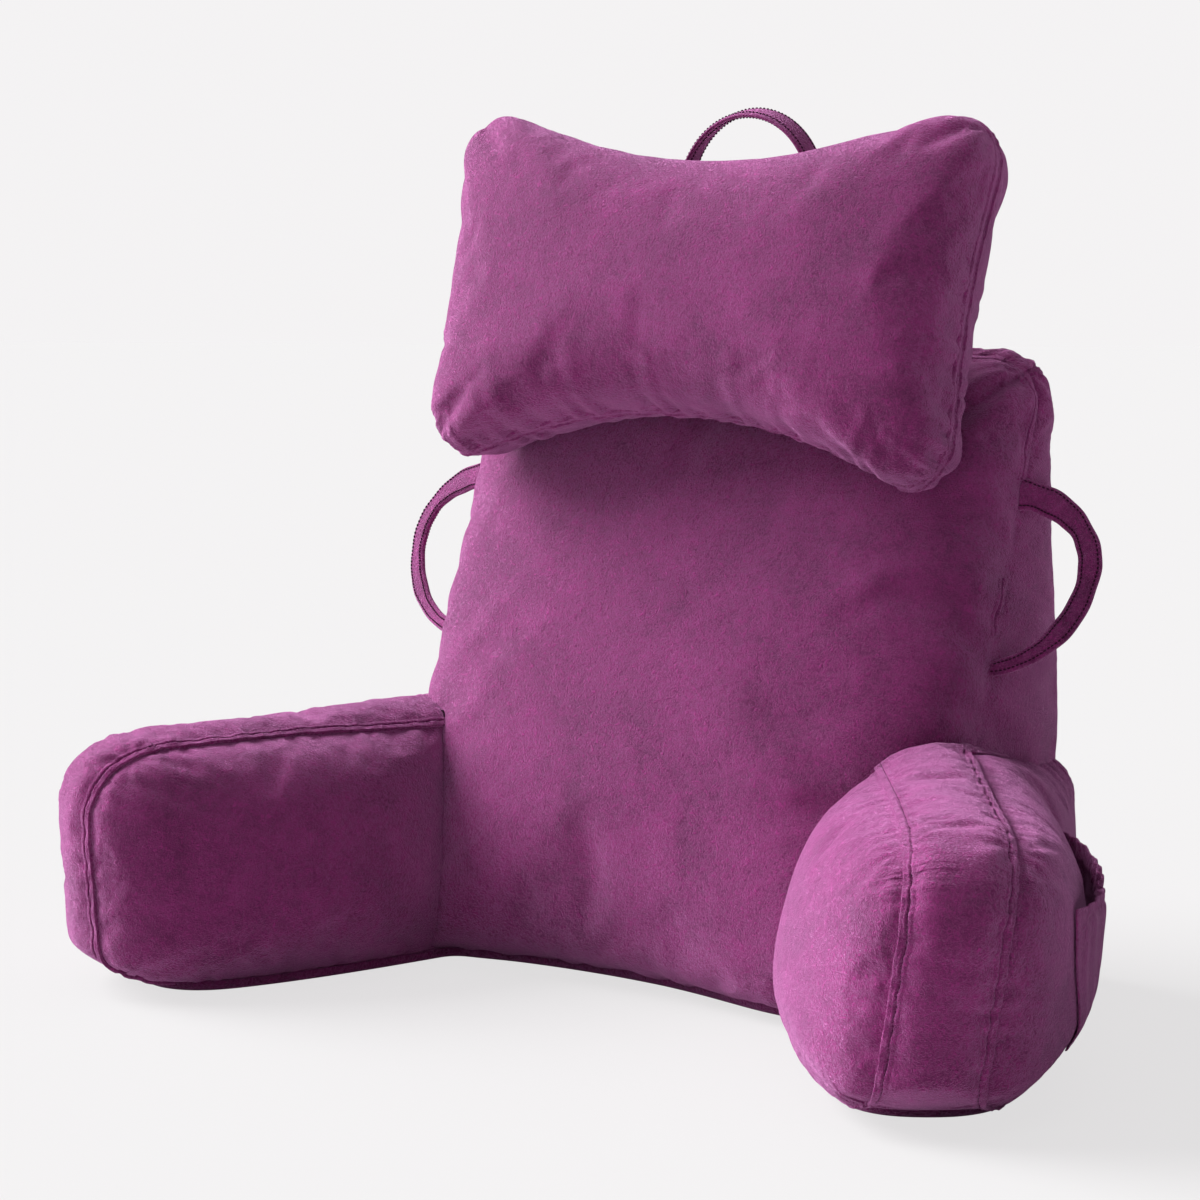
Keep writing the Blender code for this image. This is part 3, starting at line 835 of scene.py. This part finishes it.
def velvet(name, dark=PILE_DARK, light=PILE_LIGHT, nap=1.0, gathered=True, bloom=0.85):
    """Short-pile velvet: cloudy patches where the pile lies differently, a wormy nap and a bright bloom."""
    material = bpy.data.materials.new(name)
    material.use_nodes = True
    tree = material.node_tree
    shader = tree.nodes["Principled BSDF"]
    coordinates = tree.nodes.new("ShaderNodeTexCoord").outputs["Object"]
    cloud = noise(tree, coordinates, 13.0, 3.0, 0.6, 0.6)
    patch = noise(tree, coordinates, 70.0, 3.0, 0.65, 1.0)
    worm = noise(tree, coordinates, 300.0, 1.0, 0.5, 2.2)
    worm = math_node(tree, "ABSOLUTE", math_node(tree, "SUBTRACT", worm, 0.5), 0.0)
    worm = math_node(tree, "MINIMUM", math_node(tree, "MULTIPLY", worm, 7.0), 1.0)
    fibre = noise(tree, coordinates, 1500.0, 2.0, 0.6, 0.0)
    mottle = math_node(tree, "MULTIPLY", cloud, 0.42)
    for texture, share in ((patch, 0.28), (worm, 0.17), (fibre, 0.22)):
        mottle = math_node(tree, "ADD", mottle, math_node(tree, "MULTIPLY", texture, share))
    ramp = tree.nodes.new("ShaderNodeValToRGB")
    ramp.color_ramp.elements[0].position = 0.39
    ramp.color_ramp.elements[0].color = (*dark, 1.0)
    ramp.color_ramp.elements[1].position = 0.76
    ramp.color_ramp.elements[1].color = (*light, 1.0)
    tree.links.new(mottle, ramp.inputs["Fac"])
    tree.links.new(ramp.outputs["Color"], shader.inputs["Base Color"])
    relief = bump(tree, cloud, 0.16, 0.010)
    relief = bump(tree, patch, 0.30, 0.0028, relief)
    if gathered:
        relief = bump(tree, puckers(tree), 0.20, 0.0036, relief)
    relief = bump(tree, worm, 0.80 * nap, 0.00080, relief)
    relief = bump(tree, fibre, 0.50 * nap, 0.00035, relief)
    tree.links.new(relief, shader.inputs["Normal"])
    rough = new_node(tree, "ShaderNodeMapRange", **{"To Min": 0.72, "To Max": 0.92})
    tree.links.new(patch, rough.inputs["Value"])
    tree.links.new(rough.outputs["Result"], shader.inputs["Roughness"])
    for socket, value in (("Specular IOR Level", 0.10), ("Sheen Weight", bloom), ("Sheen Roughness", 0.42),
                          ("Sheen Tint", PILE_BLOOM)):
        shader.inputs[socket].default_value = value
    return material


def dress(piece, material, node, stands_in=True):
    """Gives a piece its cloth, ties it to the frame and, as a rule, puts it in place of a CAD node."""
    piece.data.materials.clear()
    piece.data.materials.append(material)
    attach(piece, "root")
    if stands_in:
        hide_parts(node)
    return piece


# ---------------------------------------------------------------- pieces
def seam_pins(corners, *extra):
    u, v, w = corners
    ring = np.maximum(np.abs(u), np.abs(v))
    held = (np.abs(w) > 0.999) & (ring > 0.9999)
    for other in extra:
        held = held | other
    return held.astype(float)


def seam_lines(place, step=0.004):
    """The two seams of a cushion that is cut as two panels and a strip, as rows of points."""
    corners = (np.array((-1.0, -1.0, 1.0, 1.0, -1.0)), np.array((-1.0, 1.0, 1.0, -1.0, -1.0)))
    return [place(*along_edge(place, (*corners, np.full(5, w)), step)) for w in (-1.0, 1.0)]


def build_back(material):
    piece, corners = cushion("back", (84, 88, 14), back_point)
    held = seam_pins(corners, corners[1] < -0.999)
    relax(piece, held, 3)
    puff(piece, held, **BACK_GATHERS)
    refine(piece)
    lines = seam_lines(back_point)
    pleat(piece, lines, *BACK_PLEATS)
    for side in (-1.0, 1.0):
        fan(piece, spot_on(back_point, side, 1.0, -1.0), *BACK_FANS)
    mark_seams(piece, lines)
    return dress(piece, material, "back_cushion")


def draw_in_foot(piece):
    """Pulls the foot of an arm in to the base seam, so that it rounds down to the base."""
    points = points_of(piece)
    outline = base_outline()
    out = plan_normals(outline)
    low = np.flatnonzero((points[:, 2] < BASE_SEAM + 0.03) & (points[:, 1] < BACK_FOOT_Y))
    for index in low:
        away = points[index, :2] - outline
        nearest = np.argmin((away ** 2).sum(axis=1))
        beyond = away[nearest] @ out[nearest]
        allowed = math.sqrt(max(0.0, 2.0 * SOLE_ROUNDING * (points[index, 2] - BASE_SEAM)))
        if beyond > allowed:
            points[index, :2] -= (beyond - allowed) * out[nearest]
    set_points(piece, points)


def build_arm(side, material, back):
    place = arm_point if side == "right" else mirrored(arm_point)
    piece, corners = cushion(f"arm_{side}", (118, 50, 18), place)
    held = seam_pins(corners, corners[1] < -0.999, corners[0] < -0.6)
    relax(piece, held, 3)
    puff(piece, held, **ARM_GATHERS)
    draw_in_foot(piece)
    refine(piece)
    lines = seam_lines(place)
    pleat(piece, lines, *ARM_PLEATS)
    for seam in (-1.0, 1.0):
        fan(piece, spot_on(place, ARM_CREASE, 1.0, seam), *ARM_FANS)
    seat(piece, back)
    mark_seams(piece, lines)
    return dress(piece, material, f"arm_{side}")


def build_headrest(material, back):
    piece, corners = cushion("headrest_cushion", (116, 72, 1), head_point)
    held = seam_pins(corners)
    relax(piece, held, 14)
    puff(piece, held, **HEAD_GATHERS)
    refine(piece)
    lines = seam_lines(head_point)
    start = HEAD_CENTRE.z + 0.5 * HEAD_HALF_HEIGHT
    pleat(piece, lines, *HEAD_PLEATS, lambda points: smooth_step((start - points[:, 2]) / HEAD_HALF_HEIGHT))
    for end, edge in ((-1.0, -1.0), (1.0, -1.0), (1.0, 1.0)):
        fan(piece, spot_on(head_point, end, edge, -1.0), *HEAD_FANS)
    seat(piece, back)
    mark_seams(piece, lines)
    return dress(piece, material, "headrest")


def swept(name, centres, acrosses, ups, half_widths, half_depths, sides=20, power=2.6):
    """A strap: a rounded flat section carried along its centre line."""
    turns = np.arange(sides) * 2.0 * math.pi / sides
    cos, sin = np.cos(turns), np.sin(turns)
    a = np.sign(cos) * np.abs(cos) ** (2.0 / power)
    b = np.sign(sin) * np.abs(sin) ** (2.0 / power)
    count = len(centres)
    points = (centres[:, None, :]
              + acrosses[:, None, :] * (a[None, :] * half_widths[:, None])[:, :, None]
              + ups[:, None, :] * (b[None, :] * half_depths[:, None])[:, :, None])
    faces = []
    for i in range(count - 1):
        for j in range(sides):
            k = (j + 1) % sides
            faces.append((i * sides + j, i * sides + k, (i + 1) * sides + k, (i + 1) * sides + j))
    faces.append(tuple(range(sides)))
    faces.append(tuple((count - 1) * sides + j for j in reversed(range(sides))))
    piece = mesh_object(name, points.reshape(-1, 3), faces)
    turn_outward(piece)
    return piece


def strap_stitches(name, centres, acrosses, ups, halves, inset, depth, thread, node, tree):
    """Rows of stitches along both edges of a strap, on both of its faces, where they lie outside tree."""
    run = run_along(centres)
    keep = np.arange(0.0, run[-1], SEAM_STEP)
    for edge in (-1.0, 1.0):
        for face in (-1.0, 1.0):
            line = centres + acrosses * (edge * (halves - inset))[:, None] + ups * (face * depth)
            even = respaced(keep, run, line)
            up = respaced(keep, run, ups) * face
            shown = np.array([not inside(tree, spot) for spot in even])
            row = stitches(f"{name}_row_{int(edge + face * 2 + 3)}", even, up, shown, SEAM_STEP)
            dress(row, thread, node, False)


def build_loop(side, material, thread, back):
    slope = math.atan2(BACK_HEAD_Y - BACK_FOOT_Y, BACK_TOP)
    along = np.array((0.0, math.sin(slope), math.cos(slope)))
    out = np.array((math.cos(LOOP_SWING), math.sin(LOOP_SWING), 0.0))
    face = np.cross(out, along)
    face /= np.linalg.norm(face)
    u = np.linspace(-1.0, 1.0, 150)
    turn = u * math.pi / 2.0
    root = np.array((BACK_HALF_WIDTH, back_seam_y(LOOP_HEIGHT), LOOP_HEIGHT)) - out * LOOP_ROOT
    reach = LOOP_ROOT + LOOP_REACH[side]
    span = np.where(u > 0.0, LOOP_SPAN_ABOVE, LOOP_SPAN_BELOW)
    centres = root + np.outer(reach * np.cos(turn), out) + np.outer(span * np.sin(turn), along)
    tangents = unit(np.gradient(centres, axis=0))
    acrosses = np.cross(face, tangents)
    ups = np.tile(face, (len(u), 1))
    half = lerp(LOOP_WIDTH_MIDDLE, np.where(u > 0.0, LOOP_WIDTH_TOP, LOOP_WIDTH_FOOT), u * u) / 2.0
    half *= 1.0 + 0.05 * np.sin(u * 13.0) + 0.03 * np.sin(u * 29.0 + 1.0)
    flip = np.array((1.0 if side == "right" else -1.0, 1.0, 1.0))
    course = (centres * flip, acrosses * flip, ups * flip)
    piece = swept(f"loop_{side}", *course, half, np.full(len(u), LOOP_THICKNESS / 2.0))
    refine(piece)
    seat(piece, back)
    strap_stitches(f"loop_{side}", *course, half, LOOP_STITCH_INSET, LOOP_THICKNESS / 2.0,
                   thread, f"side_loop_{side}", tree_of(back))
    return dress(piece, material, f"side_loop_{side}")


def build_handle(material, thread, head):
    turn = np.radians(np.linspace(-100.0, 100.0, 160))
    centres = HANDLE_CENTRE + np.stack(
        [HANDLE_HALF_SPAN * np.sin(turn), np.zeros(len(turn)), HANDLE_RISE * np.cos(turn)], axis=1)
    tangents = unit(np.gradient(centres, axis=0))
    tilt = HANDLE_TILT * np.cos(turn)
    level = np.tile((0.0, 1.0, 0.0), (len(turn), 1))
    outward = np.cross(tangents, level)
    outward *= np.sign(outward[len(turn) // 2, 2])
    acrosses = level * np.cos(tilt)[:, None] + outward * np.sin(tilt)[:, None]
    ups = np.cross(tangents, acrosses)
    half = np.full(len(turn), HANDLE_WIDTH / 2.0)
    depth = np.full(len(turn), HANDLE_THICKNESS / 2.0)
    piece = swept("handle_strap", centres, acrosses, ups, half, depth, 24, 3.0)
    refine(piece)
    seat(piece, head)
    strap_stitches("handle", centres, acrosses, ups, half, HANDLE_STITCH_INSET, HANDLE_THICKNESS / 2.0,
                   thread, "top_handle", tree_of(head))
    return dress(piece, material, "top_handle")


def grid_faces(rows, columns):
    return [(i * columns + j, i * columns + j + 1, (i + 1) * columns + j + 1, (i + 1) * columns + j)
            for i in range(rows - 1) for j in range(columns - 1)]


def build_pocket(material, arm):
    """A gathered patch sewn to the arm's outer panel, its elastic mouth standing open."""
    across, tall = 140, 56
    tree = tree_of(arm)
    part_u, part_v = np.meshgrid(np.linspace(-1.0, 1.0, across), np.linspace(0.0, 1.0, tall))
    part_u, part_v = part_u.ravel(), part_v.ravel()
    along = lerp(POCKET_REAR, POCKET_FRONT - POCKET_TAPER * (1.0 - part_v) ** 2, (part_u + 1.0) / 2.0)
    up = lerp(POCKET_LOW, POCKET_MOUTH, part_v)
    spots = arm_point(along, up, np.ones(len(along)))
    out = arm_path(on_outline(along, up, arm_outline)[:, 0])[1]
    out = np.column_stack([out, np.zeros(len(out))])
    sewn = np.clip((1.0 - np.abs(part_u)) / 0.10, 0.0, 1.0)
    stand = POCKET_GAPE * dome(part_u, 3.0, 0.7) * part_v ** 1.5
    gather = 0.0022 * sewn * np.clip(part_v * 1.6 - 0.25, 0.0, 1.0)
    phase = part_u * 30.0 + 1.5 * np.sin(part_u * 7.0) + 0.6 * np.sin(part_v * 3.0 + part_u * 11.0)
    pleats = gather * np.sin(phase) * (0.7 + 0.3 * np.sin(part_u * 5.0 + 1.0))
    band = np.exp(-((part_v - 0.90) / 0.035) ** 2)
    frill = 0.0006 * sewn * np.sin(part_u * 95.0) * (part_v > 0.88)
    shape = POCKET_LIFT + stand + pleats - 0.0022 * band * sewn + frill
    inner = spots + out * shape[:, None]
    for index in range(len(inner)):
        found, normal, _, _ = tree.find_nearest(Vector(inner[index]))
        depth = (Vector(inner[index]) - found).dot(normal)
        if depth < POCKET_LIFT:
            shift = POCKET_LIFT - depth
        else:
            shift = min(0.0, shape[index] - depth) * smooth_step(1.0 - part_v[index] / POCKET_SNUG)
        inner[index] += np.array(normal) * shift
    outer = inner + out * POCKET_THICKNESS
    front = grid_faces(tall, across)
    count = tall * across
    faces = front + [tuple(count + corner for corner in reversed(face)) for face in front]
    rim = (list(range(across))
           + [(i + 1) * across - 1 for i in range(1, tall)]
           + [(tall - 1) * across + j for j in reversed(range(across - 1))]
           + [i * across for i in reversed(range(1, tall - 1))])
    for a, b in zip(rim, rim[1:] + rim[:1]):
        faces.append((a, b, count + b, count + a))
    piece = mesh_object("pocket", np.concatenate([inner, outer]), faces)
    turn_outward(piece)
    refine(piece)
    return dress(piece, material, "arm_pocket")


def foot_spots(s, part):
    place, out = arm_path(s)
    inner, outer = arm_sides(s, np.zeros(len(s)))
    return place + out * lerp(inner, outer, part)[:, None]


def base_outline():
    """The base seam in plan, all the way round."""
    inner = foot_spots(np.linspace(0.0, BASE_TIP_FROM, 40, endpoint=False), np.zeros(40))
    turn = np.linspace(-math.pi / 2.0, math.pi / 2.0, 41)
    bow = np.cos(turn) ** BASE_TIP_FULLNESS
    spread = np.sign(np.sin(turn)) * np.abs(np.sin(turn)) ** BASE_TIP_FULLNESS
    tip = foot_spots(BASE_TIP_FROM + BASE_TIP * bow, 0.5 + 0.5 * spread)
    outer = foot_spots(np.linspace(BASE_TIP_FROM, -ARM_BEND_LENGTH, 80)[1:-3], np.ones(76))
    rear = np.array([(foot_spots(np.array([-ARM_BEND_LENGTH]), np.ones(1))[0, 0] - 0.012, BACK_REAR_Y)])
    half = np.concatenate([inner, tip, outer, rear])
    across = np.linspace(-ARM_ROOT[0], ARM_ROOT[0], 60)[1:-1]
    middle = np.stack([across, BACK_FOOT_Y + foot_shift(across)], axis=1)
    whole = np.concatenate([half, half[::-1] * (-1.0, 1.0), middle])
    closed = np.concatenate([whole, whole[:1]])
    run = run_along(closed)
    even = respaced(np.linspace(0.0, run[-1], 900, endpoint=False), run, closed)
    kernel = np.hanning(17)[1:-1]
    kernel /= kernel.sum()
    around = np.concatenate([even[-7:], even, even[:7]])
    return np.stack([np.convolve(around[:, axis], kernel, mode="valid") for axis in range(2)], axis=1)


def build_base(material):
    """The panel under the whole pillow, its rim turned up to the seam that joins it to the cushions."""
    outline = base_outline()
    out = plan_normals(outline)
    count = len(outline)
    rings = [np.column_stack([outline + out * shift, np.full(count, height)]) for shift, height in BASE_RIM]
    faces = []
    for ring in range(len(rings) - 1):
        for index in range(count):
            following = (index + 1) % count
            a, b = ring * count + index, ring * count + following
            faces.append((a, b, b + count, a + count))
    faces.append(tuple((len(rings) - 1) * count + index for index in range(count)))
    piece = mesh_object("base_cloth", np.concatenate(rings), faces)
    bm = bmesh.new()
    bm.from_mesh(piece.data)
    floor_face = [face for face in bm.faces if len(face.verts) > 4]
    bmesh.ops.triangulate(bm, faces=floor_face)
    bmesh.ops.recalc_face_normals(bm, faces=bm.faces)
    if min(bm.faces, key=lambda face: face.calc_center_median().z).normal.z > 0.0:
        bmesh.ops.reverse_faces(bm, faces=bm.faces)
    bm.to_mesh(piece.data)
    bm.free()
    cloth = piece.modifiers.new("cloth", "SOLIDIFY")
    cloth.thickness = BASE_THICKNESS
    cloth.offset = 1.0
    apply_modifiers(piece)
    return dress(piece, material, "base_panel")


# ---------------------------------------------------------------- studio
def build_camera():
    data = bpy.data.cameras.new("camera")
    data.sensor_fit = "HORIZONTAL"
    data.sensor_width = 36.0
    data.lens = CAMERA_LENS
    camera = bpy.data.objects.new("camera", data)
    bpy.context.scene.collection.objects.link(camera)
    flat = math.cos(CAMERA_HEIGHT_ANGLE)
    back = Vector((math.sin(CAMERA_AZIMUTH) * flat, -math.cos(CAMERA_AZIMUTH) * flat,
                   math.sin(CAMERA_HEIGHT_ANGLE)))
    right = Vector((math.cos(CAMERA_AZIMUTH), math.sin(CAMERA_AZIMUTH), 0.0))
    up = back.cross(right)
    turn = Matrix((right, up, back)).transposed().to_4x4()
    camera.matrix_world = Matrix.Translation(CAMERA_PLACE) @ turn
    bpy.context.scene.camera = camera


def add_sun(name, towards, strength, softness):
    """A soft light from far away; towards points from the pillow to it."""
    data = bpy.data.lights.new(name, "SUN")
    data.energy = strength
    data.angle = math.radians(softness)
    light = bpy.data.objects.new(name, data)
    bpy.context.scene.collection.objects.link(light)
    light.rotation_euler = Vector(towards).to_track_quat("Z", "Y").to_euler()


def floor_paint():
    """Pale paint that meets the backdrop without a line, and throws light back as plain grey paint does."""
    material = bpy.data.materials.new("floor_paint")
    material.use_nodes = True
    tree = material.node_tree
    tree.nodes.clear()
    glow = new_node(tree, "ShaderNodeEmission", Color=PALE, Strength=FLOOR_GLOW)
    matt = new_node(tree, "ShaderNodeBsdfDiffuse", Color=(FLOOR_GREY, FLOOR_GREY, FLOOR_GREY, 1.0))
    both = tree.nodes.new("ShaderNodeAddShader")
    plain = new_node(tree, "ShaderNodeBsdfDiffuse", Color=FLOOR_BOUNCE)
    seen = tree.nodes.new("ShaderNodeLightPath")
    choice = tree.nodes.new("ShaderNodeMixShader")
    output = tree.nodes.new("ShaderNodeOutputMaterial")
    tree.links.new(glow.outputs[0], both.inputs[0])
    tree.links.new(matt.outputs[0], both.inputs[1])
    tree.links.new(seen.outputs["Is Camera Ray"], choice.inputs["Fac"])
    tree.links.new(plain.outputs[0], choice.inputs[1])
    tree.links.new(both.outputs[0], choice.inputs[2])
    tree.links.new(choice.outputs[0], output.inputs["Surface"])
    return material


def pale_world():
    """A pale backdrop that gives only a little light."""
    world = bpy.data.worlds.new("studio")
    world.use_nodes = True
    tree = world.node_tree
    shown = tree.nodes["Background"]
    shown.inputs["Color"].default_value = PALE
    shown.inputs["Strength"].default_value = BACKDROP
    ambient = new_node(tree, "ShaderNodeBackground", Color=(1.0, 1.0, 1.0, 1.0), Strength=AMBIENT)
    seen = tree.nodes.new("ShaderNodeLightPath")
    choice = tree.nodes.new("ShaderNodeMixShader")
    tree.links.new(seen.outputs["Is Camera Ray"], choice.inputs["Fac"])
    tree.links.new(ambient.outputs[0], choice.inputs[1])
    tree.links.new(shown.outputs[0], choice.inputs[2])
    tree.links.new(choice.outputs[0], tree.nodes["World Output"].inputs["Surface"])
    return world


def build_studio():
    floor = mesh_object("floor", [(-60, -60, 0), (60, -60, 0), (60, 60, 0), (-60, 60, 0)], [(0, 1, 2, 3)])
    floor.data.materials.append(floor_paint())
    bpy.context.scene.world = pale_world()
    for sun in SUNS:
        add_sun(*sun)
    bpy.context.scene.view_settings.view_transform = "Standard"


# ---------------------------------------------------------------- assembly
def sew_arm(side, material, thread, arm, back_tree):
    place = arm_point if side == "right" else mirrored(arm_point)
    tree = tree_of(arm)
    for name, w, toward in (("inner", -1.0, 1.0), ("outer", 1.0, -1.0)):
        inward = lambda u, v, seam, depth, toward=toward: (u, v, seam + toward * depth)
        corners = ((-0.5, 1.0, 1.0, 0.8), (1.0, 1.0, -1.0, -1.0), (w, w, w, w))
        felled_seam(f"arm_{side}_{name}_seam", place, corners, inward, 0.45, tree, (back_tree,), 3,
                    (material, thread), f"arm_{side}")


def sew_back(material, thread, back, covers):
    tree = tree_of(back)
    panel = lambda u, v, w, depth: (u * (1.0 - depth), v * (1.0 - depth), w)
    for name, w in (("front", -1.0), ("rear", 1.0)):
        corners = ((-1.0, -1.0, 1.0, 1.0), (-1.0, 1.0, 1.0, -1.0), (w, w, w, w))
        felled_seam(f"back_{name}_seam", back_point, corners, panel, 0.12, tree, covers, 5,
                    (material, thread), "back_cushion")


def sew_headrest(material, head, back_tree):
    lips = lipped_seam("headrest_seam", head_point,
                       ((-1.0, -1.0, 1.0, 1.0, -1.0), (-1.0, 1.0, 1.0, -1.0, -1.0), (-1.0,) * 5),
                       tree_of(head), (back_tree,), 7)
    dress(lips, material, "headrest", False)


def main():
    build_camera()
    build_studio()
    cloth = velvet("velvet")
    plain = velvet("velvet_strap", gathered=False)
    thread = velvet("velvet_thread", THREAD_DARK, THREAD_LIGHT, 0.4, False, 0.0)
    back = build_back(cloth)
    back_tree = tree_of(back)
    head = build_headrest(cloth, back)
    arms = {side: build_arm(side, cloth, back) for side in ("left", "right")}
    for side, arm in arms.items():
        sew_arm(side, plain, thread, arm, back_tree)
        build_loop(side, plain, thread, back)
    sew_back(plain, thread, back, [tree_of(piece) for piece in (head, *arms.values())])
    sew_headrest(plain, head, back_tree)
    build_handle(plain, thread, head)
    pocket = build_pocket(plain, arms["right"])
    base = build_base(plain)


main()
